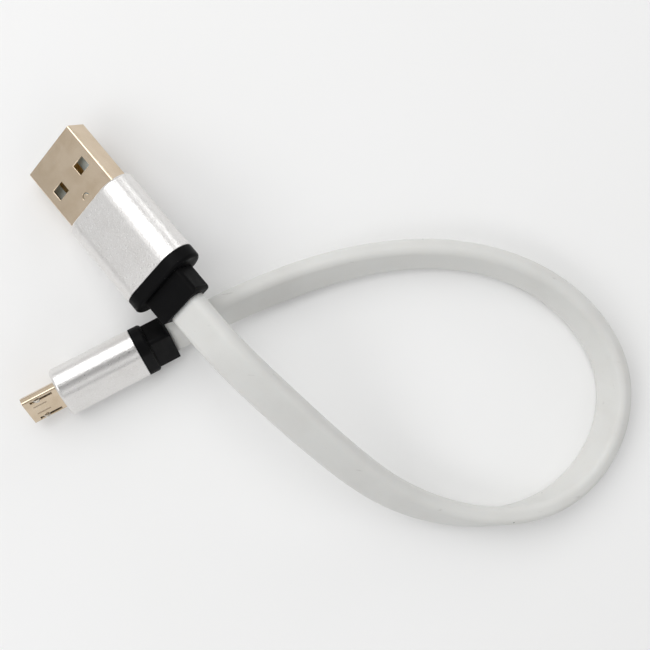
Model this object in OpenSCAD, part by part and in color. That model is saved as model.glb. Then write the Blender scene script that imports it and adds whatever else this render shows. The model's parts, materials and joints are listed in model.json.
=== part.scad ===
// Short flat charging cable: a USB-A plug and a micro-USB plug on a flat flexible lead.
// Millimetres, +Z up. The origin is on the surface the cable lies on, at the middle of
// the two plugs' joint footprint. Each plug is drawn with its tip at x = 0, its width
// along Y and its marked face towards +Z, then turned and set down in its resting pose.

/* [Cable] */
// Width of the flat cable
cable_w = 6.8; // [6.4:0.1:7.2]
// Thickness of the flat cable
cable_t = 3.3; // [2.8:0.1:3.5]
// Diameter of an insulated wire inside the plugs
wire_d = 0.9; // [0.7:0.05:0.95]

/* [USB-A plug] */
// Width of the metal shell
a_shell_w = 12; // [11.9:0.05:12.1]
// Height of the metal shell
a_shell_h = 4.5; // [4.4:0.05:4.6]
// Length of shell that stands out of the sleeve
a_shell_out = 12; // [11:0.1:12.5]
// Width of the aluminium sleeve
a_sleeve_w = 14.8; // [14.4:0.1:15.6]
// Height of the aluminium sleeve
a_sleeve_h = 7.6; // [7.4:0.1:8.2]
// Length of the aluminium sleeve
a_sleeve_len = 15.8; // [15.5:0.1:18]
// Length of the plastic end cap that shows
a_cap_len = 2.4; // [2.3:0.1:3.2]
// Width of the strain relief's neck
a_neck_w = 9.2; // [8.8:0.1:10]
// Height of the strain relief's neck
a_neck_h = 4.6; // [4.4:0.1:5]
// Length of the strain relief's neck
a_neck_len = 4.7; // [4:0.1:7]

/* [Micro-USB plug] */
// Width of the metal shell
b_shell_w = 6.85; // [6.8:0.05:6.9]
// Height of the metal shell
b_shell_h = 1.8; // [1.75:0.05:1.85]
// Length of shell that stands out of the sleeve
b_shell_out = 6.2; // [6.2:0.1:7]
// Width of the aluminium sleeve
b_sleeve_w = 10.6; // [10.4:0.1:11.4]
// Height of the aluminium sleeve
b_sleeve_h = 6; // [5.8:0.1:7]
// Length of the aluminium sleeve
b_sleeve_len = 14.8; // [14.5:0.1:17]
// Length of the plastic end cap that shows
b_cap_len = 2.2; // [2:0.1:2.8]
// Width of the strain relief's neck
b_neck_w = 8.2; // [8:0.1:8.8]
// Height of the strain relief's neck
b_neck_h = 4.4; // [4.2:0.1:4.8]
// Length of the strain relief's neck
b_neck_len = 3.8; // [3:0.1:6]
// How far a latch hook stands out of the shell
hook_rise = 0.35; // [0.2:0.05:0.4]

/* [Resting pose] */
// USB-A tip, left to right
a_tip_x = -9; // [-12:0.5:-8]
// USB-A tip, front to back
a_tip_y = 21; // [20:0.5:25]
// Heading of the USB-A plug, from its tip to its cable
a_heading = -51; // [-54:1:-48]
// Upward slope of the USB-A plug, from its tip to its cable
a_pitch = 17; // [15:1:20]
// Roll of the USB-A plug about its own length
a_roll = 32.5; // [30:0.5:40]
// Micro-USB tip, left to right
b_tip_x = -14.3; // [-16:0.1:-14]
// Micro-USB tip, front to back
b_tip_y = -22.7; // [-24:0.1:-22]
// Heading of the micro-USB plug, from its tip to its cable
b_heading = 27; // [24:1:30]
// Roll of the micro-USB plug about its own length
b_roll = 51; // [46:1:54]

/* [Hidden] */
$fn = 64;
fit = 0.02;               // gap between pieces that are pushed together
slack = 0.05;             // gap round a piece that slides in or moves
over = 1;                 // how far a cut runs past a face

// both housings
sleeve_wall = 0.5;
front_wall = 1;           // front wall of a sleeve, round the shell
cap_rim = 0.6;            // rounding of an end cap's back edge
cap_wall = 1.2;           // back wall of an end cap, round the neck
cap_side = 0.7;           // side wall of an end cap, round the strain relief's flange
spigot = 2.3;             // length of an end cap inside its sleeve
mould_gap = 2.8;          // inner mould to end cap
jacket_grip = 2.5;        // length of the jacket held in front of an end cap
jacket_pitch = 1.4;       // spacing of the wires where they enter the jacket
solder_back = 0.5;        // middle of a solder joint, from the end of its contact
strip_len = 1.4;          // bare wire past the end of its contact
neck_r = 0.7;             // rounding along a neck
neck_end_r = 0.9;         // rounding of a neck's back corners
seam_w = 0.06;            // where the rolled sheet of a shell meets

// USB-A plug: shell, tongue and contacts
a_wall = 0.3;
a_shell_r = 0.4;
a_shell_len = 18.75;
a_window_x = 6.25;        // centre of the locking windows, from the tip
a_window_y = 3.05;
a_window_len = 2;
a_window_w = 2.5;
a_window_z = 1;           // the windows cut every wall beyond this height
a_lance_x = 10.4;         // root of the half-round lance
a_lance_r = 0.75;
a_lance_slit = 0.2;
a_tongue_x = 0.6;
a_tongue_w = 11.1;
a_block_x = 9.3;          // the insulator fills the shell from here
a_block_end = 16;
a_contact_z = -0.05;      // top of the contacts
a_contact_t = 0.3;
a_contact_w = 1;
a_contact_y = [3.5, 1, -1, -3.5];
a_contact_x = [1, 2, 2, 1];
a_contact_dip = 0.2;      // how far a contact's front end turns down
a_tail_x = 20.2;
a_core_d = 0.32;          // bare end of a wire
a_solder_r = 0.49;

// USB-A plug: housing
a_rim = 0.5;              // rounding of the sleeve's front edge
a_chamber_w = 10;         // space round the soldered wires
a_chamber_h = 3.5;
a_cap_x = a_shell_out + a_sleeve_len;
a_neck_x = a_cap_x + a_cap_len;
a_end_x = a_neck_x + a_neck_len;
a_mould_end = a_cap_x - mould_gap;
a_jacket_x = a_cap_x - jacket_grip;

// micro-USB plug: shell, insulator, contacts and latch
b_wall = 0.25;
b_shell_len = 9.5;
b_chamfer = 0.7;          // keying bevels along the narrow side
b_corner = 0.35;
b_slot_y = 2.6;           // centre of each latch slot
b_slot_x = [1.2, 5.2];
b_slot_w = 0.6;
b_groove_y = 1.05;
b_groove_x = [1.25, 3.65];
b_groove_depth = 0.18;
b_tongue_x = 0.5;
b_tongue_w = 5;
b_block_x = 6.4;
b_block_end = 9.3;
b_floor_top = -0.2;
b_contact_w = 0.28;
b_contact_t = 0.15;
b_pitch = 0.65;
b_contact_x = 0.9;
b_contact_z = b_floor_top + b_contact_t;
b_pad_x = 1.2;            // a raised pad: a ramp, a flat and a ramp, each this long
b_pad_step = 0.6;
b_pad_rise = 0.15;
b_tail_x = 11.3;
b_core_d = 0.2;           // bare end of a wire
b_solder_r = 0.31;
B_WIRED = [2, 1, 0, -2];  // the contacts that carry a wire: the ID contact has none
arm_w = 0.45;
arm_t = 0.2;
arm_top = 0.6;
arm_root = 6.35;          // the arm bends about here
hook_x = 2.4;             // front of the hook's crest
hook_w = 0.4;             // length of the crest
hook_ramp = 0.9;          // length of the hook's slope, in front of the crest
hook_back = 0.3;
latch_base_len = 2.2;
latch_base_w = 5.9;
latch_base_z = 0.38;

// micro-USB plug: housing
b_rim = 0.6;
b_chamber_w = 6.2;
b_chamber_h = 3;
b_cap_x = b_shell_out + b_sleeve_len;
b_neck_x = b_cap_x + b_cap_len;
b_end_x = b_neck_x + b_neck_len;
b_mould_end = b_cap_x - mould_gap;
b_jacket_x = b_cap_x - jacket_grip;

// height of each plug's axis at its tip when it rests on its lowest edge
a_tip_z = ((a_shell_w/2 - a_shell_r)*sin(a_roll) + (a_shell_h/2 - a_shell_r)*cos(a_roll)
           + a_shell_r)*cos(a_pitch);
b_tip_z = (b_sleeve_w - b_sleeve_h)/2*sin(b_roll) + b_sleeve_h/2;
a_tip = [a_tip_x, a_tip_y, a_tip_z];
b_tip = [b_tip_x, b_tip_y, b_tip_z];

// The flat cable's route from the USB-A plug to the micro-USB plug, as the control points
// of a smooth spline: x, y, the gap under the cable, and how far it leans from standing
// on its edge, in degrees, positive where the loop's inner face looks up.
ROUTE = [
    [26, -20, 13.5, -66],
    [33, -26.5, 11, -60],
    [40.5, -33, 7.5, -54],
    [48, -38.5, 4, -43],
    [57, -42.5, 1, -31],
    [67, -44.5, 0, -15],
    [77.5, -43, 0, 2],
    [86, -37, 0, 16],
    [91, -27.5, 0, 25],
    [91, -17, 0, 29],
    [85.5, -8, 0, 29],
    [77.5, -1.5, 0, 26],
    [68, 2.5, 0, 25],
    [58, 4, 0, 28],
    [48, 3.5, 0, 33],
    [38, 1.5, 0, 39],
    [28, -2, 0, 45]
];
route_step = 10.2;        // distance between control points at the two plugs
rings_per_step = 3;
cable_side_pts = 5;       // points on each round side of the cable's section

// ---- placing -------------------------------------------------------------------------

module place_a() {
    translate(a_tip) rotate([0, 0, a_heading]) rotate([0, -a_pitch, 0]) rotate([a_roll, 0, 0])
        children();
}

module place_b() {
    translate(b_tip) rotate([0, 0, b_heading]) rotate([b_roll, 0, 0]) children();
}

// draws a section, given as (y, z), along +X from x
module along_x(x, len) {
    translate([x, 0, 0]) rotate([90, 0, 90]) linear_extrude(len) children();
}

// draws a side view, given as (x, z), w wide about y
module across_y(y, w) {
    translate([0, y + w/2, 0]) rotate([90, 0, 0]) linear_extrude(w) children();
}

// ---- sections ------------------------------------------------------------------------

module round_rect(w, h, r) {
    square([w - 2*r, h], center = true);
    square([w, h - 2*r], center = true);
    for (sy = [-1, 1], sz = [-1, 1]) translate([sy*(w/2 - r), sz*(h/2 - r)]) circle(r);
}

module stadium(w, h) {
    square([w - h, h], center = true);
    for (s = [-1, 1]) translate([s*(w - h)/2, 0]) circle(d = h);
}

// side view of half a housing: flat back, rounded front edge
module rim_profile(len, r, rim) {
    translate([rim, 0]) square([len - rim, r]);
    square([len, r - rim]);
    translate([rim, r - rim]) circle(rim);
}

// a bar of stadium section along X, its front edge rounded all round
module rimmed_bar(len, w, h, rim) {
    for (side = [0, 1]) mirror([0, side, 0]) translate([0, (w - h)/2, 0]) rotate([0, 90, 0])
        rotate_extrude(angle = 180) mirror([1, -1, 0]) rim_profile(len, h/2, rim);
    across_y(0, w - h) {
        rim_profile(len, h/2, rim);
        mirror([0, 1]) rim_profile(len, h/2, rim);
    }
}

// outline of the micro-USB shell as (y, z): round corners above, keying bevels below
function arc(cy, cz, r, from) = [for (a = [from:30:from + 90]) [cy + r*cos(a), cz + r*sin(a)]];
function keyed_outline(w, h, r, bevel) = concat(
    arc(w/2 - r, h/2 - r, r, 0), arc(r - w/2, h/2 - r, r, 90),
    [[-w/2, bevel - h/2], [bevel - w/2, -h/2], [w/2 - bevel, -h/2], [w/2, bevel - h/2]]);

// the micro-USB shell's outline moved inwards by inset
module keyed_section(inset) {
    polygon(keyed_outline(b_shell_w - 2*inset, b_shell_h - 2*inset,
                          b_corner - inset, b_chamfer - inset*(2 - sqrt(2))));
}

// ---- sweeping ------------------------------------------------------------------------

function unit(v) = v/norm(v);

// a ring of points about c: u and v are the section's own two directions
function ring(c, u, v, section) = [for (p = section) c + p[0]*u + p[1]*v];

// closes a stack of rings, each with the same number of points, into one solid
module skin(rings) {
    n = len(rings[0]);
    m = len(rings);
    points = [for (r = rings) each r];
    sides = [for (i = [0:m - 2], j = [0:n - 1]) let (a = i*n + j, b = i*n + (j + 1)%n)
        each [[a, b, b + n], [a, b + n, a + n]]];
    first = [for (j = [n - 1:-1:0]) j];
    last = [for (j = [0:n - 1]) (m - 1)*n + j];
    polyhedron(points, concat([first], sides, [last]), convexity = 8);
}

// a round wire through stations of [point, diameter], mitred at each bend
module wire(stations) {
    n = len(stations);
    skin([for (i = [0:n - 1])
        let (t = unit(stations[min(i + 1, n - 1)][0] - stations[max(i - 1, 0)][0]),
             u = unit(cross([0, 0, 1], t)),
             r = stations[i][1]/2)
        ring(stations[i][0], u, cross(t, u), [for (a = [0:45:315]) r*[cos(a), sin(a)]])]);
}

// ---- shared parts of the two plugs ---------------------------------------------------

// an aluminium sleeve from x: open at the back, with a slot in front for the shell
module sleeve(x, len, w, h, rim) {
    difference() {
        translate([x, 0, 0]) rimmed_bar(len, w, h, rim);
        along_x(x + front_wall, len) stadium(w - 2*sleeve_wall, h - 2*sleeve_wall);
        along_x(x - over, front_wall + 2*over) children();
    }
}

// the cut that leaves a seam along the middle of a shell's underside
module seam(len, h, wall) {
    translate([-over, -seam_w/2, -h/2 - over]) cube([len + 2*over, seam_w, wall + 2*over]);
}

// the outside of an inner mould, which fills the front of a sleeve from x to end
module mould_body(x, end, w, h) {
    inset = 2*(sleeve_wall + fit);
    along_x(x + front_wall + fit, end - x - front_wall - fit) stadium(w - inset, h - inset);
}

// an end cap from x: a collar as wide as the sleeve, a spigot inside the sleeve that grips
// the cable, and a recess that holds the strain relief's flange
module end_cap(x, len, w, h, neck_w, neck_h) {
    inset = 2*(sleeve_wall + fit);
    difference() {
        union() {
            translate([x + len, 0, 0]) mirror([1, 0, 0]) rimmed_bar(len, w, h, cap_rim);
            along_x(x - spigot, spigot) stadium(w - inset, h - inset);
        }
        along_x(x - spigot - over, spigot + 2*over) stadium(cable_w + 2*fit, cable_t + 2*fit);
        along_x(x, len - cap_wall) stadium(w - 2*cap_side, h - 2*cap_side);
        along_x(x + len - cap_wall - over, cap_wall + 2*over)
            round_rect(neck_w + 2*fit, neck_h + 2*fit, neck_r);
    }
}

// a strain relief moulded on the cable: a flange inside the cap's recess, of the cap's own
// width and height, and a neck behind it
module strain_relief(x, len, w, h, neck_w, neck_h, neck_len) {
    flange = len - cap_wall - 2*fit;
    inset = 2*(cap_side + fit);
    difference() {
        translate([x + fit, 0, 0]) union() {
            along_x(0, flange) stadium(w - inset, h - inset);
            intersection() {
                along_x(flange/2, len + neck_len - fit - flange/2)
                    round_rect(neck_w, neck_h, neck_r);
                translate([0, 0, -neck_h]) linear_extrude(2*neck_h)
                    translate([(len + neck_len - fit)/2, 0])
                        round_rect(len + neck_len - fit, neck_w + 2*fit, neck_end_r);
            }
        }
        along_x(x - over, len + neck_len + 2*over) stadium(cable_w + 2*fit, cable_t + 2*fit);
    }
}

// the end of the cable's jacket, held in a plug from x to its strain relief's back face
module jacket_end(x, end_x) {
    color("gainsboro") along_x(x, end_x - x) stadium(cable_w, cable_t);
}

// a wire from its bare end on a contact to the cable's jacket: y on the contact, where
// the wires fan out, and at the jacket
module lead(tail_x, tail_z, jacket_x, y, fan_y, jacket_y, core_d) {
    covered = tail_x + strip_len;
    z = tail_z + core_d/2;
    wire([[[tail_x - 2*solder_back, y, z], core_d], [[tail_x + slack, y, z], core_d],
          [[covered, fan_y, z], core_d], [[covered + slack, fan_y, z], wire_d],
          [[covered + wire_d, fan_y, z], wire_d], [[jacket_x - wire_d, jacket_y, 0], wire_d],
          [[jacket_x, jacket_y, 0], wire_d]]);
}

// solder over a bare wire end on a contact whose top is at z
module solder(x, y, z, r, core_d) {
    difference() {
        intersection() {
            translate([x, y, z]) sphere(r, $fn = 32);
            translate([x - r, y - r, z]) cube([2*r, 2*r, r]);
        }
        translate([x - over, y - core_d/2 - fit, z - fit])
            cube([2*over, core_d + 2*fit, core_d + 2*fit]);
    }
}

// ---- USB-A plug ----------------------------------------------------------------------

module a_window(y, from_z) {
    translate([a_window_x - a_window_len/2, y - a_window_w/2, from_z])
        cube([a_window_len, a_window_w, a_shell_h/2]);
}

module usb_a_shell() {
    color("silver") place_a() difference() {
        along_x(0, a_shell_len) round_rect(a_shell_w, a_shell_h, a_shell_r);
        along_x(-over, a_shell_len + 2*over)
            round_rect(a_shell_w - 2*a_wall, a_shell_h - 2*a_wall, a_shell_r - a_wall);
        for (y = [-a_window_y, a_window_y], z = [a_window_z, -a_window_z - a_shell_h/2])
            a_window(y, z);
        seam(a_shell_len, a_shell_h, a_wall);
        // the slit round the half-round lance
        translate([a_lance_x, 0, a_window_z]) difference() {
            cylinder(r = a_lance_r, h = a_shell_h, $fn = 12);
            translate([0, 0, -over])
                cylinder(r = a_lance_r - a_lance_slit, h = a_shell_h + 2*over, $fn = 12);
            translate([0, -a_lance_r, -over]) cube([a_lance_r, 2*a_lance_r, a_shell_h + 2*over]);
        }
    }
}

module a_contact_slot(i) {
    translate([a_contact_x[i] - slack, a_contact_y[i] - a_contact_w/2 - fit,
               a_contact_z - a_contact_t - fit])
        cube([a_block_end, a_contact_w + 2*fit, a_contact_t + 2*fit]);
}

module usb_a_insulator() {
    floor_z = a_wall + fit - a_shell_h/2;
    color("#1a1a1a") place_a() difference() {
        union() {
            translate([a_tongue_x, -a_tongue_w/2, floor_z])
                cube([a_block_x - a_tongue_x + fit, a_tongue_w, a_contact_z - floor_z]);
            along_x(a_block_x, a_block_end - a_block_x)
                round_rect(a_shell_w - 2*a_wall - 2*fit, a_shell_h - 2*a_wall - 2*fit,
                           a_shell_r - a_wall - fit);
        }
        for (i = [0:3]) a_contact_slot(i);
    }
}

// a flat contact whose front end is turned down into the tongue
module a_contact(i) {
    top = a_contact_z;
    low = a_contact_z - a_contact_t;
    x = a_contact_x[i];
    color("gold") place_a() across_y(a_contact_y[i], a_contact_w)
        polygon([[x, low], [a_tail_x, low], [a_tail_x, top], [x + 2*a_contact_dip, top],
                 [x, top - a_contact_dip]]);
}

module usb_a_contact_vbus() { a_contact(0); }
module usb_a_contact_data_minus() { a_contact(1); }
module usb_a_contact_data_plus() { a_contact(2); }
module usb_a_contact_ground() { a_contact(3); }

module usb_a_solder_joints() {
    color("lightgray") place_a() for (y = a_contact_y)
        solder(a_tail_x - solder_back, y, a_contact_z, a_solder_r, a_core_d);
}

module a_lead(i) {
    lead(a_tail_x, a_contact_z, a_jacket_x, a_contact_y[i], a_contact_y[i],
         jacket_pitch*(1.5 - i), a_core_d);
}

module usb_a_wire_red() { color("red") place_a() a_lead(0); }
module usb_a_wire_white() { color("white") place_a() a_lead(1); }
module usb_a_wire_green() { color("green") place_a() a_lead(2); }
module usb_a_wire_black() { color("black") place_a() a_lead(3); }

// the mould grips the back of the shell and leaves a chamber round the soldered wires
module usb_a_inner_mould() {
    color("ivory") place_a() difference() {
        mould_body(a_shell_out, a_mould_end, a_sleeve_w, a_sleeve_h);
        along_x(a_shell_out, a_shell_len + fit - a_shell_out)
            round_rect(a_shell_w + 2*fit, a_shell_h + 2*fit, a_shell_r + fit);
        along_x(a_shell_len, a_mould_end - a_shell_len + over)
            round_rect(a_chamber_w, a_chamber_h, a_shell_r);
    }
}

module usb_a_sleeve() {
    color("lightgray") place_a()
        sleeve(a_shell_out, a_sleeve_len, a_sleeve_w, a_sleeve_h, a_rim)
            round_rect(a_shell_w + 2*slack, a_shell_h + 2*slack, a_shell_r + slack);
}

module usb_a_end_cap() {
    color("#222222") place_a()
        end_cap(a_cap_x, a_cap_len, a_sleeve_w, a_sleeve_h, a_neck_w, a_neck_h);
}

module usb_a_strain_relief() {
    color("#222222") place_a()
        strain_relief(a_cap_x, a_cap_len, a_sleeve_w, a_sleeve_h, a_neck_w, a_neck_h,
                      a_neck_len);
}

module usb_a_jacket_end() { place_a() jacket_end(a_jacket_x, a_end_x); }

// ---- flat cable ----------------------------------------------------------------------

// half the height of the cable's section when it leans by this many degrees
function half_height(lean) = cable_t/2 + (cable_w - cable_t)/2*cos(lean);

// unit vector along each plug, from its tip to its cable
a_dir = [cos(a_pitch)*cos(a_heading), cos(a_pitch)*sin(a_heading), sin(a_pitch)];
b_dir = [cos(b_heading), sin(b_heading), 0];

// three control points that start the spline at a plug, in line with it
function plug_points(tip, dir, len, lean) = [for (k = [-1:1])
    let (p = tip + (len + k*route_step)*dir) [p[0], p[1], p[2] - half_height(lean), lean]];
a_points = plug_points(a_tip, a_dir, a_end_x, a_roll - 90);
b_points = plug_points(b_tip, b_dir, b_end_x, 90 - b_roll);
control = concat(a_points, ROUTE, [for (k = [2:-1:0]) b_points[k]]);

// uniform cubic B-spline through the control points, at step i + t, with 0 <= t <= 1
function spline(i, t) = (pow(1 - t, 3)*control[i]
    + (3*pow(t, 3) - 6*pow(t, 2) + 4)*control[i + 1]
    + (1 + 3*t + 3*pow(t, 2) - 3*pow(t, 3))*control[i + 2] + pow(t, 3)*control[i + 3])/6;
function centre(s) = [s[0], s[1], s[2] + half_height(s[3])];

// the section's points as (across the width, across the thickness)
cable_section = [for (side = [0, 1], j = [0:cable_side_pts - 1])
    let (a = 180*side - 90 + 180*j/(cable_side_pts - 1))
    [cable_t/2*cos(a) + (0.5 - side)*(cable_w - cable_t), cable_t/2*sin(a)]];

module flat_cable() {
    spans = len(control) - 3;
    count = spans*rings_per_step;
    samples = [for (k = [0:count]) let (i = min(floor(k/rings_per_step), spans - 1))
        spline(i, k/rings_per_step - i)];
    centres = [for (s = samples) centre(s)];
    color("gainsboro") skin([for (k = [0:count])
        let (t = k == 0 ? a_dir : k == count ? -b_dir : unit(centres[k + 1] - centres[k - 1]),
             side = unit(cross(t, [0, 0, 1])),
             rise = cross(side, t),
             lean = samples[k][3],
             wide = cos(lean)*rise + sin(lean)*side)
        ring(centres[k], wide, cross(t, wide), cable_section)]);
}

// ---- micro-USB plug ------------------------------------------------------------------

module micro_shell() {
    color("silver") place_b() difference() {
        along_x(0, b_shell_len) keyed_section(0);
        along_x(-over, b_shell_len + 2*over) keyed_section(b_wall);
        seam(b_shell_len, b_shell_h, b_wall);
        for (s = [-1, 1]) {
            translate([b_slot_x[0], s*b_slot_y - b_slot_w/2, 0])
                cube([b_slot_x[1] - b_slot_x[0], b_slot_w, b_shell_h]);
            // a V-shaped groove
            translate([b_groove_x[0], s*b_groove_y, b_shell_h/2 - b_groove_depth])
                rotate([45, 0, 0]) cube([b_groove_x[1] - b_groove_x[0], 1, 1]);
        }
    }
}

module b_contact_slot(i) {
    translate([b_contact_x - fit, i*b_pitch - b_contact_w/2 - fit, b_floor_top - fit])
        cube([b_tail_x, b_contact_w + 2*fit, b_contact_t + 2*fit]);
}

module micro_insulator() {
    floor_z = b_wall + fit - b_shell_h/2;
    color("#1a1a1a") place_b() difference() {
        union() {
            translate([b_tongue_x, -b_tongue_w/2, floor_z])
                cube([b_block_x - b_tongue_x, b_tongue_w, b_floor_top - floor_z - fit]);
            along_x(b_block_x - fit, b_block_end - b_block_x + fit)
                keyed_section(b_wall + fit);
        }
        // pocket for the latch's base
        translate([b_block_x - over, -b_shell_w/2, latch_base_z - fit])
            cube([arm_root + latch_base_len + 2*slack - b_block_x + over, b_shell_w, b_shell_h]);
        for (i = [-2:2]) b_contact_slot(i);
    }
}

// a spring contact: a strip with a raised pad near its front end
module b_contact(i) {
    low = b_floor_top;
    top = b_contact_z;
    pad = b_contact_z + b_pad_rise;
    color("gold") place_b() across_y(i*b_pitch, b_contact_w)
        polygon([[b_contact_x, low], [b_tail_x, low], [b_tail_x, top],
                 [b_pad_x + 3*b_pad_step, top], [b_pad_x + 2*b_pad_step, pad],
                 [b_pad_x + b_pad_step, pad], [b_pad_x, top], [b_contact_x, top]]);
}

module micro_contact_vbus() { b_contact(2); }
module micro_contact_data_minus() { b_contact(1); }
module micro_contact_data_plus() { b_contact(0); }
module micro_contact_id() { b_contact(-1); }
module micro_contact_ground() { b_contact(-2); }

module micro_latch_base() {
    color("silver") place_b() translate([arm_root + slack, -latch_base_w/2, latch_base_z])
        cube([latch_base_len, latch_base_w, arm_top - latch_base_z]);
}

// a latch arm on the side given by s, with its hook standing up through the shell's slot
module latch_arm(s) {
    low = arm_top - arm_t;
    peak = b_shell_h/2 + hook_rise;
    color("silver") place_b() across_y(s*b_slot_y, arm_w)
        polygon([[hook_x - hook_ramp, low], [arm_root, low], [arm_root, arm_top],
                 [hook_x + hook_w + hook_back, arm_top], [hook_x + hook_w, peak],
                 [hook_x, peak], [hook_x - hook_ramp, arm_top]]);
}

module micro_latch_arm_left() { latch_arm(1); }
module micro_latch_arm_right() { latch_arm(-1); }

module micro_solder_joints() {
    color("lightgray") place_b() for (i = B_WIRED)
        solder(b_tail_x - solder_back, i*b_pitch, b_contact_z, b_solder_r, b_core_d);
}

module b_lead(k) {
    lead(b_tail_x, b_contact_z, b_jacket_x, B_WIRED[k]*b_pitch, 1.5 - k, jacket_pitch*(1.5 - k),
         b_core_d);
}

module micro_wire_red() { color("red") place_b() b_lead(0); }
module micro_wire_white() { color("white") place_b() b_lead(1); }
module micro_wire_green() { color("green") place_b() b_lead(2); }
module micro_wire_black() { color("black") place_b() b_lead(3); }

module micro_inner_mould() {
    color("ivory") place_b() difference() {
        mould_body(b_shell_out, b_mould_end, b_sleeve_w, b_sleeve_h);
        along_x(b_shell_out, b_shell_len + fit - b_shell_out) keyed_section(-fit);
        along_x(b_shell_len, b_mould_end - b_shell_len + over)
            round_rect(b_chamber_w, b_chamber_h, b_corner);
    }
}

module micro_sleeve() {
    color("lightgray") place_b()
        sleeve(b_shell_out, b_sleeve_len, b_sleeve_w, b_sleeve_h, b_rim)
            keyed_section(-slack);
}

module micro_end_cap() {
    color("#222222") place_b()
        end_cap(b_cap_x, b_cap_len, b_sleeve_w, b_sleeve_h, b_neck_w, b_neck_h);
}

module micro_strain_relief() {
    color("#222222") place_b()
        strain_relief(b_cap_x, b_cap_len, b_sleeve_w, b_sleeve_h, b_neck_w, b_neck_h,
                      b_neck_len);
}

module micro_jacket_end() { place_b() jacket_end(b_jacket_x, b_end_x); }

usb_a_shell();
usb_a_insulator();
usb_a_contact_vbus();
usb_a_contact_data_minus();
usb_a_contact_data_plus();
usb_a_contact_ground();
usb_a_solder_joints();
usb_a_wire_red();
usb_a_wire_white();
usb_a_wire_green();
usb_a_wire_black();
usb_a_inner_mould();
usb_a_sleeve();
usb_a_end_cap();
usb_a_strain_relief();
usb_a_jacket_end();
flat_cable();
micro_shell();
micro_insulator();
micro_contact_vbus();
micro_contact_data_minus();
micro_contact_data_plus();
micro_contact_id();
micro_contact_ground();
micro_latch_base();
micro_latch_arm_left();
micro_latch_arm_right();
micro_solder_joints();
micro_wire_red();
micro_wire_white();
micro_wire_green();
micro_wire_black();
micro_inner_mould();
micro_sleeve();
micro_end_cap();
micro_strain_relief();
micro_jacket_end();
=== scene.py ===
# Looks of a short flat charging cable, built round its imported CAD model. Sizes are in metres.
import json
import math

import bmesh
import bpy
from mathutils import Matrix, Vector

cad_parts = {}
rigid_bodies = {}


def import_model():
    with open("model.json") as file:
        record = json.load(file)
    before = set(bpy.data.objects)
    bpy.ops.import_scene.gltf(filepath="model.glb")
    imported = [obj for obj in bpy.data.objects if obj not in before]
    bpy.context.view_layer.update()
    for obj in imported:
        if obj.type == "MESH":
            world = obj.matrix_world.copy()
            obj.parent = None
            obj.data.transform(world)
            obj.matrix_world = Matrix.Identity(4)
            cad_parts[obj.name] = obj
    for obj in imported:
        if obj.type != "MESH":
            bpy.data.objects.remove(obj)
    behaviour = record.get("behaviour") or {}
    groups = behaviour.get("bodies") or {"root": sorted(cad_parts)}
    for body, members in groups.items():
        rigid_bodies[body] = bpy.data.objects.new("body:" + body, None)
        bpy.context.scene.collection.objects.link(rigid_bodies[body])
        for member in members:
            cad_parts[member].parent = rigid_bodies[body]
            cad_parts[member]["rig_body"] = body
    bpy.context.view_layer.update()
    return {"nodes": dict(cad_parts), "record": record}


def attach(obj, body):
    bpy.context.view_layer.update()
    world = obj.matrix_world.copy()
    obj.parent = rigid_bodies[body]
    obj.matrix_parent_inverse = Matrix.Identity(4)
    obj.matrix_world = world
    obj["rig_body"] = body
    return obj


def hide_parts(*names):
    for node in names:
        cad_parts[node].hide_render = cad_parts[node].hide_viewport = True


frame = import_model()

MM = 0.001
MICRON = 0.001 * MM

# ---- camera --------------------------------------------------------------------------------

CAMERA_AT = Vector((0.0015, 0.0026, 0.2114))
CAMERA_FORWARD = Vector((0.167, -0.054, -0.984))
SENSOR = 36.0                # millimetres, as the lens
LENS = 66.46


def make_camera():
    data = bpy.data.cameras.new("camera")
    data.sensor_width = SENSOR
    data.lens = LENS
    data.clip_start = 0.01
    data.clip_end = 10
    forward = CAMERA_FORWARD.normalized()
    right = forward.cross(Vector((0, 1, 0))).normalized()
    up = right.cross(forward)
    turn = Matrix((right, up, -forward)).transposed().to_4x4()
    camera = bpy.data.objects.new("camera", data)
    camera.matrix_world = Matrix.Translation(CAMERA_AT) @ turn
    bpy.context.scene.collection.objects.link(camera)
    bpy.context.scene.camera = camera


make_camera()

# ---- frame of each plug --------------------------------------------------------------------


def plug_frame(tip_mount, shoulder_mount, marked_side):
    """Matrix of a plug: origin at its tip, +X towards its cable, +Z out of its marked face."""
    mounts = {m["name"]: m for m in frame["record"]["mounts"]}
    tip = Vector(mounts[tip_mount]["pos_m"])
    x = -Vector(mounts[tip_mount]["axis"]).normalized()
    to_shoulder = Vector(mounts[shoulder_mount]["pos_m"]) - tip
    z = marked_side * (to_shoulder - to_shoulder.dot(x) * x).normalized()
    turn = Matrix((x, z.cross(x), z)).transposed().to_4x4()
    return Matrix.Translation(tip) @ turn


USB_A = plug_frame("usb_a_plug", "usb_a_shoulder", -1)
MICRO = plug_frame("micro_usb_plug", "micro_usb_shoulder", 1)
USB_A_END = 34.9 * MM       # back face of each strain relief, from the plug's tip
MICRO_END = 27.0 * MM

# ---- flat cable ----------------------------------------------------------------------------

CABLE_WIDTH = 6.8 * MM
CABLE_THICKNESS = 3.3 * MM
CABLE_CORNER = 1.3 * MM
USB_A_LEAN = -57.5           # how far the cable leans from standing on its edge at each plug
MICRO_LEAN = 39
ROUTE_STEP = 10.2 * MM       # distance between control points at the two plugs
RINGS_PER_STEP = 10
CORNER_STEPS = 7             # faces round each corner of the cable's section

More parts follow.
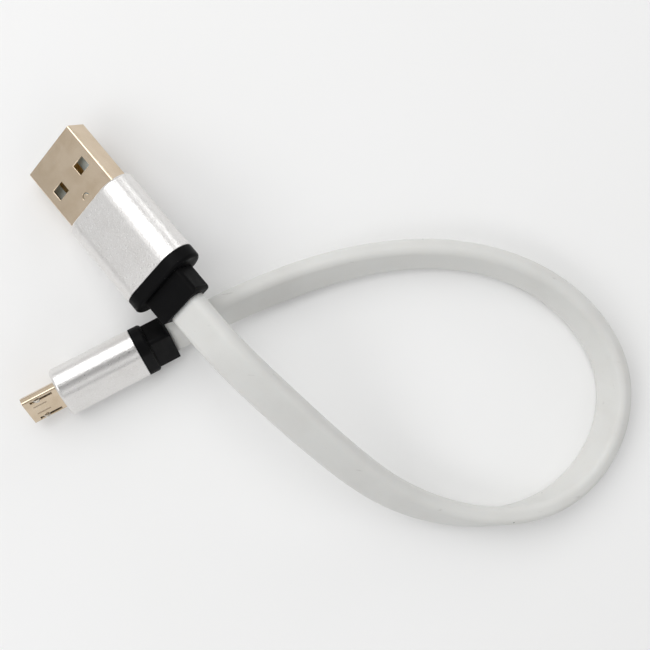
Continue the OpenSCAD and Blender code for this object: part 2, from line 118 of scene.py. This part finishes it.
# control points of the route: x, y, the gap under the cable, and its lean in degrees
ROUTE = [
    (0.026, -0.020, 0.0135, -66),
    (0.033, -0.0265, 0.011, -60),
    (0.0405, -0.033, 0.0075, -54),
    (0.048, -0.0385, 0.004, -43),
    (0.057, -0.0425, 0.001, -31),
    (0.067, -0.0445, 0, -15),
    (0.0775, -0.043, 0, 2),
    (0.086, -0.037, 0, 16),
    (0.091, -0.0275, 0, 25),
    (0.091, -0.017, 0, 29),
    (0.0855, -0.008, 0, 29),
    (0.0775, -0.0015, 0, 26),
    (0.068, 0.0025, 0, 25),
    (0.058, 0.004, 0, 28),
    (0.048, 0.0035, 0, 33),
    (0.038, 0.0015, 0, 39),
    (0.028, -0.002, 0, 45),
]


def half_height(lean):
    """Height of the cable's middle over the lowest point of its section."""
    a = math.radians(lean)
    half_w = CABLE_WIDTH / 2 - CABLE_CORNER
    half_t = CABLE_THICKNESS / 2 - CABLE_CORNER
    return half_w * math.cos(a) + half_t * abs(math.sin(a)) + CABLE_CORNER


def plug_points(plug, end, lean):
    """Three control points in line with a plug, from its tip's side outwards."""
    points = []
    for k in (-1, 0, 1):
        p = plug @ Vector((end + k * ROUTE_STEP, 0, 0))
        points.append((p.x, p.y, p.z - half_height(lean), lean))
    return points


def spline(control, i, t):
    """Point of the uniform cubic B-spline with these control points, at step i + t."""
    weights = ((1 - t) ** 3, 3 * t**3 - 6 * t**2 + 4, 1 + 3 * t + 3 * t**2 - 3 * t**3, t**3)
    return [sum(w * control[i + k][c] for k, w in enumerate(weights)) / 6 for c in range(4)]


def cable_route():
    """Centres of the cable's rings and how far the section leans at each."""
    control = plug_points(USB_A, USB_A_END, USB_A_LEAN) + ROUTE
    control += plug_points(MICRO, MICRO_END, MICRO_LEAN)[::-1]
    spans = len(control) - 3
    centres, leans = [], []
    for k in range(spans * RINGS_PER_STEP + 1):
        i = min(k // RINGS_PER_STEP, spans - 1)
        x, y, gap, lean = spline(control, i, k / RINGS_PER_STEP - i)
        centres.append(Vector((x, y, gap + half_height(lean))))
        leans.append(lean)
    return centres, leans


def cable_section():
    """The cable's rounded section as (across its width, across its thickness)."""
    half_w = CABLE_WIDTH / 2 - CABLE_CORNER
    half_t = CABLE_THICKNESS / 2 - CABLE_CORNER
    points = []
    for quarter, (cw, ct) in enumerate(((1, 1), (-1, 1), (-1, -1), (1, -1))):
        for k in range(CORNER_STEPS + 1):
            a = math.radians(90 * quarter + 90 * k / CORNER_STEPS)
            points.append((cw * half_w + CABLE_CORNER * math.cos(a),
                           ct * half_t + CABLE_CORNER * math.sin(a)))
    return points


def new_object(name, mesh):
    piece = bpy.data.objects.new(name, mesh)
    bpy.context.scene.collection.objects.link(piece)
    return piece


def mesh_object(name, points, faces):
    mesh = bpy.data.meshes.new(name)
    mesh.from_pydata([tuple(p) for p in points], [], faces)
    mesh.update()
    for face in mesh.polygons:
        face.use_smooth = True
    return new_object(name, mesh)


def tube_faces(rings, n):
    """Faces of a closed tube of rings with n points each, with a face at each end."""
    faces = [[r * n + k, (r + 1) * n + k, (r + 1) * n + (k + 1) % n, r * n + (k + 1) % n]
             for r in range(rings - 1) for k in range(n)]
    faces.append(list(range(n)))
    faces.append([(rings - 1) * n + k for k in reversed(range(n))])
    return faces


def make_cable():
    centres, leans = cable_route()
    section = cable_section()
    first = (USB_A.to_3x3() @ Vector((1, 0, 0))).normalized()
    last = -(MICRO.to_3x3() @ Vector((1, 0, 0))).normalized()
    points = []
    for k, (centre, lean) in enumerate(zip(centres, leans)):
        if k == 0:
            along = first
        elif k == len(centres) - 1:
            along = last
        else:
            along = (centres[k + 1] - centres[k - 1]).normalized()
        side = along.cross(Vector((0, 0, 1))).normalized()
        rise = side.cross(along)
        a = math.radians(lean)
        wide = math.cos(a) * rise + math.sin(a) * side
        thin = along.cross(wide)
        points += [centre + w * wide + t * thin for w, t in section]
    piece = mesh_object("cable_jacket", points, tube_faces(len(centres), len(section)))
    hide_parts("flat_cable")
    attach(piece, "lead")
    return piece


cable = make_cable()

# ---- materials -----------------------------------------------------------------------------


class Look:
    """A Principled material whose colour, roughness and bump are built up from textures."""

    def __init__(self, name, color, metallic=0.0, roughness=0.5, specular=0.5, plug=None):
        self.material = bpy.data.materials.new(name)
        self.material.use_nodes = True
        self.nodes = self.material.node_tree.nodes
        self.links = self.material.node_tree.links
        self.shader = self.nodes["Principled BSDF"]
        self.shader.inputs["Metallic"].default_value = metallic
        self.shader.inputs["Roughness"].default_value = roughness
        self.shader.inputs["Specular IOR Level"].default_value = specular
        self.shader.inputs["Base Color"].default_value = (*color, 1)
        self.color = None
        self.rough = roughness
        self.normal = None
        self.place = self.coordinates(plug)

    def coordinates(self, plug):
        """Where a point is: in the shared frame, or in a plug's own frame."""
        here = self.nodes.new("ShaderNodeTexCoord").outputs["Object"]
        if plug is None:
            return here
        inverse = plug.inverted()
        return self.mapped(here, rotation=inverse.to_euler(), location=inverse.translation)

    def mapped(self, source, rotation=(0, 0, 0), location=(0, 0, 0), scale=(1, 1, 1)):
        node = self.nodes.new("ShaderNodeMapping")
        node.inputs["Rotation"].default_value = rotation
        node.inputs["Location"].default_value = location
        node.inputs["Scale"].default_value = scale
        self.links.new(source, node.inputs["Vector"])
        return node.outputs["Vector"]

    def noise(self, size, stretch=(1, 1, 1), detail=2.0):
        """Noise with features about this large, in metres, longer along an axis by its stretch."""
        scale = tuple(1 / (size * s) for s in stretch)
        node = self.nodes.new("ShaderNodeTexNoise")
        node.inputs["Scale"].default_value = 1
        node.inputs["Detail"].default_value = detail
        self.links.new(self.mapped(self.place, scale=scale), node.inputs["Vector"])
        return node.outputs["Fac"]

    def cells(self, size, kind="Color"):
        """A random value for each cell of about this size, or the distance to its middle."""
        node = self.nodes.new("ShaderNodeTexVoronoi")
        node.inputs["Scale"].default_value = 1
        self.links.new(self.mapped(self.place, scale=(1 / size,) * 3), node.inputs["Vector"])
        return node.outputs[kind]

    def ranged(self, source, low, high, to_low=0.0, to_high=1.0):
        node = self.nodes.new("ShaderNodeMapRange")
        for socket, value in (("From Min", low), ("From Max", high), ("To Min", to_low),
                              ("To Max", to_high)):
            node.inputs[socket].default_value = value
        self.links.new(source, node.inputs["Value"])
        return node.outputs["Result"]

    def tint(self, mask, color):
        """Where the mask is 1 the colour becomes this one."""
        node = self.nodes.new("ShaderNodeMix")
        node.data_type = "RGBA"
        self.links.new(mask, node.inputs["Factor"])
        if self.color is None:
            node.inputs["A"].default_value = self.shader.inputs["Base Color"].default_value
        else:
            self.links.new(self.color, node.inputs["A"])
        node.inputs["B"].default_value = (*color, 1)
        self.color = node.outputs["Result"]

    def roughen(self, source, low, high, to_low, to_high):
        self.rough = self.ranged(source, low, high, to_low, to_high)

    def bump(self, source, depth):
        """Adds relief of this depth, in metres, to what is there."""
        node = self.nodes.new("ShaderNodeBump")
        node.inputs["Distance"].default_value = depth
        self.links.new(source, node.inputs["Height"])
        if self.normal is not None:
            self.links.new(self.normal, node.inputs["Normal"])
        self.normal = node.outputs["Normal"]

    def done(self):
        if self.color is not None:
            self.links.new(self.color, self.shader.inputs["Base Color"])
        if not isinstance(self.rough, float):
            self.links.new(self.rough, self.shader.inputs["Roughness"])
        if self.normal is not None:
            self.links.new(self.normal, self.shader.inputs["Normal"])
        return self.material


def nickel_plate(name, plug):
    """Bright plated sheet steel: faint rolling lines along the plug and a soft warm tarnish."""
    look = Look(name, (0.70, 0.58, 0.44), metallic=1.0, roughness=0.2, plug=plug)
    lines = look.noise(0.06 * MM, stretch=(40, 1, 1), detail=3)
    haze = look.noise(3 * MM)
    scuffs = look.noise(0.25 * MM, stretch=(1, 6, 1), detail=4)
    look.tint(look.ranged(haze, 0.4, 0.75), (0.63, 0.51, 0.37))
    look.tint(look.ranged(scuffs, 0.66, 0.74, 0, 0.5), (0.78, 0.71, 0.61))
    look.roughen(lines, 0.3, 0.7, 0.13, 0.2)
    look.bump(lines, 0.6 * MICRON)
    look.bump(haze, 12 * MICRON)
    return look.done()


def blasted_aluminium(name, plug):
    """Bead-blasted aluminium: a fine sparkling grain that breaks up the highlights."""
    look = Look(name, (0.83, 0.815, 0.80), metallic=1.0, roughness=0.3, plug=plug)
    grain = look.noise(0.24 * MM, detail=3)
    sparkle = look.cells(0.2 * MM)
    handling = look.noise(2.5 * MM, stretch=(2, 1, 1), detail=3)
    look.tint(look.ranged(handling, 0.45, 0.8, 0, 0.6), (0.74, 0.72, 0.70))
    look.tint(look.ranged(sparkle, 0.75, 1.0, 0, 0.7), (0.93, 0.93, 0.93))
    look.tint(look.ranged(sparkle, 0.2, 0.0, 0, 0.35), (0.62, 0.61, 0.60))
    look.roughen(grain, 0.3, 0.7, 0.26, 0.42)
    look.bump(grain, 45 * MICRON)
    return look.done()


def black_plastic(name, plug):
    """Matt black moulding: a fine spark-eroded texture, faint rub marks and specks of dust."""
    look = Look(name, (0.0028, 0.0028, 0.0031), roughness=0.5, specular=0.07, plug=plug)
    texture = look.noise(0.09 * MM, detail=4)
    rub = look.noise(1.6 * MM, stretch=(1, 2, 1), detail=4)
    dust = look.cells(0.9 * MM, "Distance")
    look.tint(look.ranged(rub, 0.5, 0.8, 0, 0.6), (0.0055, 0.0055, 0.006))
    look.tint(look.ranged(dust, 0.05, 0.035, 0, 0.6), (0.16, 0.16, 0.15))
    look.roughen(rub, 0.35, 0.7, 0.42, 0.58)
    look.bump(texture, 5 * MICRON)
    return look.done()


def white_pvc(name):
    """Soft white cable jacket: satin, slightly translucent, with faint scuffs and smudges."""
    look = Look(name, (0.70, 0.70, 0.68), roughness=0.42, specular=0.35)
    look.shader.inputs["Subsurface Weight"].default_value = 0.25
    look.shader.inputs["Subsurface Radius"].default_value = (1, 0.9, 0.8)
    look.shader.inputs["Subsurface Scale"].default_value = 0.8 * MM
    peel = look.noise(0.7 * MM, detail=2)
    skin = look.noise(0.07 * MM, detail=3)
    smudge = look.noise(9 * MM, detail=5)
    scuff = look.noise(1.2 * MM, stretch=(4, 1, 1), detail=6)
    look.tint(look.ranged(smudge, 0.48, 0.8, 0, 0.5), (0.61, 0.60, 0.575))
    look.tint(look.ranged(scuff, 0.69, 0.76, 0, 0.35), (0.42, 0.41, 0.39))
    specks = look.cells(7 * MM, "Distance")
    look.tint(look.ranged(specks, 0.03, 0.02, 0, 0.7), (0.16, 0.16, 0.15))
    look.roughen(smudge, 0.3, 0.7, 0.36, 0.5)
    look.bump(peel, 10 * MICRON)
    look.bump(skin, 2 * MICRON)
    return look.done()


def gold_plate(name, plug):
    """Gold-plated contact: bright, with the fine wiping lines that a socket leaves."""
    look = Look(name, (0.83, 0.61, 0.28), metallic=1.0, roughness=0.24, plug=plug)
    wipe = look.noise(0.04 * MM, stretch=(30, 1, 1), detail=2)
    patches = look.noise(0.8 * MM)
    look.tint(look.ranged(patches, 0.5, 0.8, 0, 0.7), (0.70, 0.50, 0.24))
    look.roughen(wipe, 0.35, 0.65, 0.18, 0.34)
    look.bump(wipe, 0.8 * MICRON)
    return look.done()


def insulator_plastic(name, plug, color, shade):
    """Glass-filled nylon: slightly glossy, with faint flow lines."""
    look = Look(name, color, roughness=0.3, plug=plug)
    flow = look.noise(0.5 * MM, stretch=(6, 1, 1), detail=4)
    look.tint(look.ranged(flow, 0.5, 0.8, 0, 0.6), shade)
    look.roughen(flow, 0.3, 0.7, 0.28, 0.45)
    look.bump(flow, 3 * MICRON)
    return look.done()


def wire_skin(name, color, shade):
    """Thin wire insulation: glossy, a little uneven in colour."""
    look = Look(name, color, roughness=0.35)
    uneven = look.noise(0.8 * MM, detail=3)
    look.tint(look.ranged(uneven, 0.45, 0.75, 0, 0.8), shade)
    look.roughen(uneven, 0.3, 0.7, 0.28, 0.45)
    look.bump(uneven, 6 * MICRON)
    return look.done()


def ivory_mould(name):
    """Low-pressure inner moulding: waxy, with swirls where it flowed."""
    look = Look(name, (0.72, 0.69, 0.60), roughness=0.45)
    swirl = look.noise(1.5 * MM, detail=6)
    look.tint(look.ranged(swirl, 0.5, 0.75, 0, 0.7), (0.64, 0.60, 0.50))
    look.roughen(swirl, 0.3, 0.7, 0.38, 0.55)
    look.bump(swirl, 20 * MICRON)
    return look.done()


def solder_metal(name):
    """Tin solder: bright, with a fine frozen ripple."""
    look = Look(name, (0.66, 0.67, 0.68), metallic=1.0, roughness=0.3)
    ripple = look.noise(0.12 * MM, detail=3)
    look.tint(look.ranged(ripple, 0.5, 0.8), (0.50, 0.50, 0.51))
    look.roughen(ripple, 0.3, 0.7, 0.22, 0.42)
    look.bump(ripple, 8 * MICRON)
    return look.done()


def spring_steel(name, plug):
    """Stamped spring steel: brighter where the hook rubs, with fine stamping lines."""
    look = Look(name, (0.64, 0.62, 0.58), metallic=1.0, roughness=0.28, plug=plug)
    lines = look.noise(0.03 * MM, stretch=(20, 1, 1), detail=2)
    tarnish = look.noise(0.6 * MM, detail=3)
    look.tint(look.ranged(tarnish, 0.45, 0.75, 0, 0.8), (0.46, 0.42, 0.37))
    look.roughen(lines, 0.3, 0.7, 0.2, 0.36)
    look.bump(lines, 0.6 * MICRON)
    return look.done()


# each insulator's colour, and the shade of its flow lines
PALE = (0.66, 0.72, 0.70), (0.58, 0.64, 0.62)
BLACK = (0.02, 0.021, 0.021), (0.034, 0.036, 0.036)


def make_looks(plug, tag):
    """The materials of one plug, by the record's material slots."""
    return {
        "plug_shell_steel": nickel_plate(f"nickel_plate_{tag}", plug),
        "insulator_pale": insulator_plastic(f"pale_insulator_{tag}", plug, *PALE),
        "insulator_black": insulator_plastic(f"black_insulator_{tag}", plug, *BLACK),
        "contact_gold": gold_plate(f"gold_plate_{tag}", plug),
        "sleeve_aluminium": blasted_aluminium(f"blasted_aluminium_{tag}", plug),
        "black_plastic": black_plastic(f"black_plastic_{tag}", plug),
        "latch_steel": spring_steel(f"spring_steel_{tag}", plug),
    }


SHARED_LOOKS = {
    "solder": solder_metal("solder"),
    "wire_red": wire_skin("wire_red", (0.55, 0.015, 0.012), (0.40, 0.010, 0.010)),
    "wire_white": wire_skin("wire_white", (0.75, 0.75, 0.72), (0.62, 0.62, 0.58)),
    "wire_green": wire_skin("wire_green", (0.012, 0.27, 0.07), (0.010, 0.19, 0.05)),
    "wire_black": wire_skin("wire_black", (0.012, 0.012, 0.013), (0.03, 0.03, 0.03)),
    "inner_mould": ivory_mould("inner_mould"),
    "cable_jacket": white_pvc("white_pvc"),
}
LOOKS = {
    "usb_a": {**SHARED_LOOKS, **make_looks(USB_A, "usb_a")},
    "micro": {**SHARED_LOOKS, **make_looks(MICRO, "micro")},
}

# ---- rounded pieces ------------------------------------------------------------------------

LANCE_ROOT = 10.4 * MM       # where the USB-A shell's lance bends, from the plug's tip
LANCE_RADIUS = 0.6 * MM      # between the lance's own edge and the slit's outer edge
LANCE_LOW = 1.5 * MM         # the lance is above this height in the plug's frame
LANCE_SLOPE = 0.28
WELD = 0.01 * MM             # points closer than this become one
FLAT = math.radians(0.8)     # faces closer in angle than this become one
SHARP = math.radians(35)     # edges sharper than this are rounded
BEVEL_STEPS = 2
# how far the edges of each piece are rounded, in millimetres
EDGE_ROUNDING = {
    "usb_a_shell": 0.09, "usb_a_insulator": 0.05, "usb_a_sleeve": 0.1, "usb_a_end_cap": 0.12,
    "usb_a_strain_relief": 0.15, "micro_shell": 0.04, "micro_insulator": 0.03,
    "micro_sleeve": 0.1, "micro_end_cap": 0.12, "micro_strain_relief": 0.15,
    "micro_latch_arm_left": 0.03, "micro_latch_arm_right": 0.03,
    "usb_a_contact_vbus": 0.08, "usb_a_contact_ground": 0.08,
    "usb_a_contact_data_minus": 0.08, "usb_a_contact_data_plus": 0.08,
}


def raise_lance(shape):
    """Lifts the half-round lance of the USB-A shell a little out of its face."""
    root = USB_A @ Vector((LANCE_ROOT, 0, 0))
    along = USB_A.to_3x3() @ Vector((1, 0, 0))
    out = USB_A.to_3x3() @ Vector((0, 0, 1))
    to_plug = USB_A.inverted()
    bmesh.ops.bisect_plane(shape, geom=shape.verts[:] + shape.edges[:] + shape.faces[:],
                           plane_co=root, plane_no=along)
    for vert in shape.verts:
        x, y, z = to_plug @ vert.co
        if x < LANCE_ROOT and z > LANCE_LOW and math.hypot(x - LANCE_ROOT, y) < LANCE_RADIUS:
            vert.co += LANCE_SLOPE * (LANCE_ROOT - x) * out


def softened(node, width):
    """A copy of a CAD node's mesh with its sharp edges rounded a little, which stands for it."""
    source = frame["nodes"][node]
    mesh = bpy.data.meshes.new(node + "_soft")
    shape = bmesh.new()
    shape.from_mesh(source.data)
    if node == "usb_a_shell":
        raise_lance(shape)
    bmesh.ops.remove_doubles(shape, verts=shape.verts, dist=WELD)
    bmesh.ops.dissolve_limit(shape, angle_limit=FLAT, verts=shape.verts, edges=shape.edges)
    sharp = [e for e in shape.edges if len(e.link_faces) == 2 and e.calc_face_angle() > SHARP]
    bmesh.ops.bevel(shape, geom=sharp, offset=width, offset_type="OFFSET",
                    segments=BEVEL_STEPS, profile=0.5, affect="EDGES", clamp_overlap=True)
    for face in shape.faces:
        face.smooth = True
    shape.to_mesh(mesh)
    shape.free()
    mesh.set_sharp_from_angle(angle=SHARP)
    piece = new_object(node + "_soft", mesh)
    piece.modifiers.new("flat faces stay flat", "WEIGHTED_NORMAL").keep_sharp = True
    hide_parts(node)
    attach(piece, source["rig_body"])
    return piece


def dress_pieces():
    """Gives each CAD node, or the rounded piece that stands for it, its material."""
    for row in frame["record"]["subparts"]:
        node, slot = row["node"], row["material_slot"]
        plug = "micro" if node.startswith("micro") else "usb_a"
        if node in EDGE_ROUNDING:
            shown = softened(node, EDGE_ROUNDING[node] * MM)
        else:
            shown = frame["nodes"][node]
        shown.data.materials.clear()
        shown.data.materials.append(LOOKS[plug][slot])
    cable.data.materials.append(SHARED_LOOKS["cable_jacket"])


dress_pieces()

# ---- floor and light -----------------------------------------------------------------------

SCENE_MIDDLE = Vector((0.035, -0.01, 0.005))
FLOOR_COLOR = (0.93, 0.93, 0.93)
FLOOR_SHADE = (0.92, 0.92, 0.915)
FLOOR_HALF = 20              # so large that its far edge is lost at the horizon
KEY_SIDE = (-0.40, 0.44, 0.80)
# each soft light: its direction from the middle, its distance and size in metres, its watts
LIGHTS = {
    "key_light": (KEY_SIDE, 0.7, 0.7, 2.1),
    "left_light": ((-0.62, -0.35, 0.70), 0.8, 0.4, 0.95),
    "back_light": ((0.42, 0.83, 0.36), 0.8, 0.32, 0.4),
    "front_light": ((0.29, -0.71, 0.64), 0.8, 0.25, 0.12),
}
# brightness of the sky by height, from the horizon to straight overhead
SKY = (
    (0.0, 0.5),
    (0.04, 0.28),
    (0.14, 0.32),
    (0.3, 0.79),
    (0.45, 0.64),
    (0.75, 0.52),
    (0.9, 0.38),
    (1.0, 0.08),
)
GLOW = 0.5                   # how much brighter the sky is round the key light
GLOW_EDGE = math.radians(30)
GLOW_CORE = math.radians(10)


def make_floor():
    corners = [(x * FLOOR_HALF, y * FLOOR_HALF, 0) for x, y in ((-1, -1), (1, -1), (1, 1), (-1, 1))]
    floor = mesh_object("floor", corners, [(0, 1, 2, 3)])
    look = Look("floor", FLOOR_COLOR, roughness=0.7, specular=0.2)
    look.tint(look.ranged(look.noise(60 * MM, detail=3), 0.3, 0.7), FLOOR_SHADE)
    floor.data.materials.append(look.done())


def softbox(name, direction, distance, size, power):
    """A round soft light in this direction from the middle of the scene, facing it."""
    data = bpy.data.lights.new(name, "AREA")
    data.shape = "DISK"
    data.size = size
    data.energy = power
    lamp = bpy.data.objects.new(name, data)
    away = Vector(direction).normalized()
    lamp.location = SCENE_MIDDLE + distance * away
    lamp.rotation_euler = away.to_track_quat("Z", "Y").to_euler()
    bpy.context.scene.collection.objects.link(lamp)


def make_sky():
    """A studio's walls, darker low down and overhead, with a soft glow round the key light."""
    world = bpy.data.worlds.new("studio")
    world.use_nodes = True
    nodes, links = world.node_tree.nodes, world.node_tree.links
    direction = nodes.new("ShaderNodeTexCoord").outputs["Generated"]
    split = nodes.new("ShaderNodeSeparateXYZ")
    links.new(direction, split.inputs["Vector"])
    ramp = nodes.new("ShaderNodeValToRGB")
    stops = ramp.color_ramp.elements
    for k, (height, brightness) in enumerate(SKY):
        stop = stops[k] if k < len(stops) else stops.new(height)
        stop.position = height
        stop.color = (brightness, brightness, brightness, 1)
    links.new(split.outputs["Z"], ramp.inputs["Fac"])
    towards_key = nodes.new("ShaderNodeVectorMath")
    towards_key.operation = "DOT_PRODUCT"
    towards_key.inputs[1].default_value = Vector(KEY_SIDE).normalized()
    links.new(direction, towards_key.inputs[0])
    glow = nodes.new("ShaderNodeMapRange")
    glow.interpolation_type = "SMOOTHSTEP"
    glow.inputs["From Min"].default_value = math.cos(GLOW_EDGE)
    glow.inputs["From Max"].default_value = math.cos(GLOW_CORE)
    glow.inputs["To Max"].default_value = GLOW
    links.new(towards_key.outputs["Value"], glow.inputs["Value"])
    total = nodes.new("ShaderNodeVectorMath")
    links.new(ramp.outputs["Color"], total.inputs[0])
    links.new(glow.outputs["Result"], total.inputs[1])
    links.new(total.outputs["Vector"], nodes["Background"].inputs["Color"])
    bpy.context.scene.world = world


def make_light():
    for name, (direction, distance, size, power) in LIGHTS.items():
        softbox(name, direction, distance, size, power)
    make_sky()
    bpy.context.scene.view_settings.view_transform = "Standard"


make_floor()
make_light()
